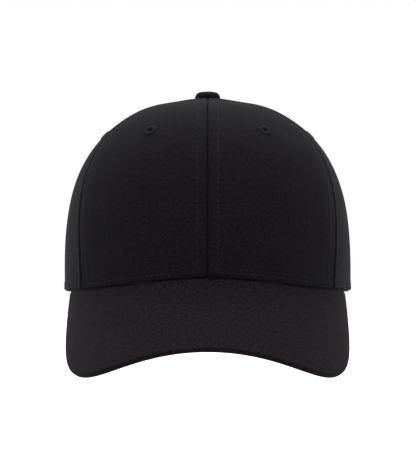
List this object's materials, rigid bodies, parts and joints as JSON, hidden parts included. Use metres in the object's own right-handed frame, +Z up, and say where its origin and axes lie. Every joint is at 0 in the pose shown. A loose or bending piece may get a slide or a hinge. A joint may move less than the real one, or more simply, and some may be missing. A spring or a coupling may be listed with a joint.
{
  "type": "baseball cap",
  "caption": "Plain structured six-panel baseball cap with a curved stiff visor, top button, embroidered vent eyelets, inner sweatband and a snap strap closure at the back.",
  "frame": {"origin": "centre of the head opening, in the plane of the crown's lower edge at its sides and back", "axes": "+Z up towards the button, visor towards -Y, wearer's left towards +X"},
  "size_m": [0.1756, 0.253, 0.1683],
  "materials": {
    "cotton_twill": "black brushed cotton twill, fine diagonal rib",
    "visor_twill": "black cotton twill laminated to the visor board",
    "buckram_mesh": "stiff open-weave buckram",
    "seam_tape": "black woven seam tape",
    "sweatband_twill": "black cotton twill",
    "foam": "thin soft foam strip",
    "visor_board": "semi-rigid polyethylene sheet",
    "embroidery_thread": "black rayon embroidery thread",
    "button_metal": "plain pressed steel",
    "snap_plastic": "black moulded polyethylene, satin",
    "label_satin": "blank woven satin label"
  },
  "bodies": {
    "cap": {"front_panel_left": "cotton_twill", "front_panel_right": "cotton_twill", "side_panel_left": "cotton_twill", "side_panel_right": "cotton_twill", "back_panel_left": "cotton_twill", "back_panel_right": "cotton_twill", "front_buckram_left": "buckram_mesh", "front_buckram_right": "buckram_mesh", "seam_tape_front": "seam_tape", "seam_tape_front_left": "seam_tape", "seam_tape_front_right": "seam_tape", "seam_tape_back_left": "seam_tape", "seam_tape_back_right": "seam_tape", "seam_tape_rear": "seam_tape", "rear_opening_binding": "seam_tape", "sweatband": "sweatband_twill", "sweatband_foam": "foam", "care_label": "label_satin", "visor_top_cover": "visor_twill", "visor_bottom_cover": "visor_twill", "visor_board": "visor_board", "button_cover": "cotton_twill", "button_shell": "button_metal", "button_rivet": "button_metal", "button_backplate": "button_metal", "eyelet_front_left": "embroidery_thread", "eyelet_front_right": "embroidery_thread", "eyelet_side_left": "embroidery_thread", "eyelet_side_right": "embroidery_thread", "eyelet_back_left": "embroidery_thread", "eyelet_back_right": "embroidery_thread", "strap_tab_left": "snap_plastic", "strap_tab_right": "snap_plastic"},
    "hole_strap": {"snap_strap_holes": "snap_plastic"},
    "peg_strap": {"snap_strap_pegs": "snap_plastic"}
  },
  "joints": [
    {"name": "hole_strap_bend", "type": "hinge", "parent": "cap", "child": "hole_strap", "pos_m": [0.04362, 0.08625, 0], "axis": [0, 0, -1], "range_deg": [0, 70]},
    {"name": "peg_strap_bend", "type": "hinge", "parent": "cap", "child": "peg_strap", "pos_m": [-0.04362, 0.08625, 0], "axis": [0, 0, -1], "range_deg": [0, 25]}
  ]
}
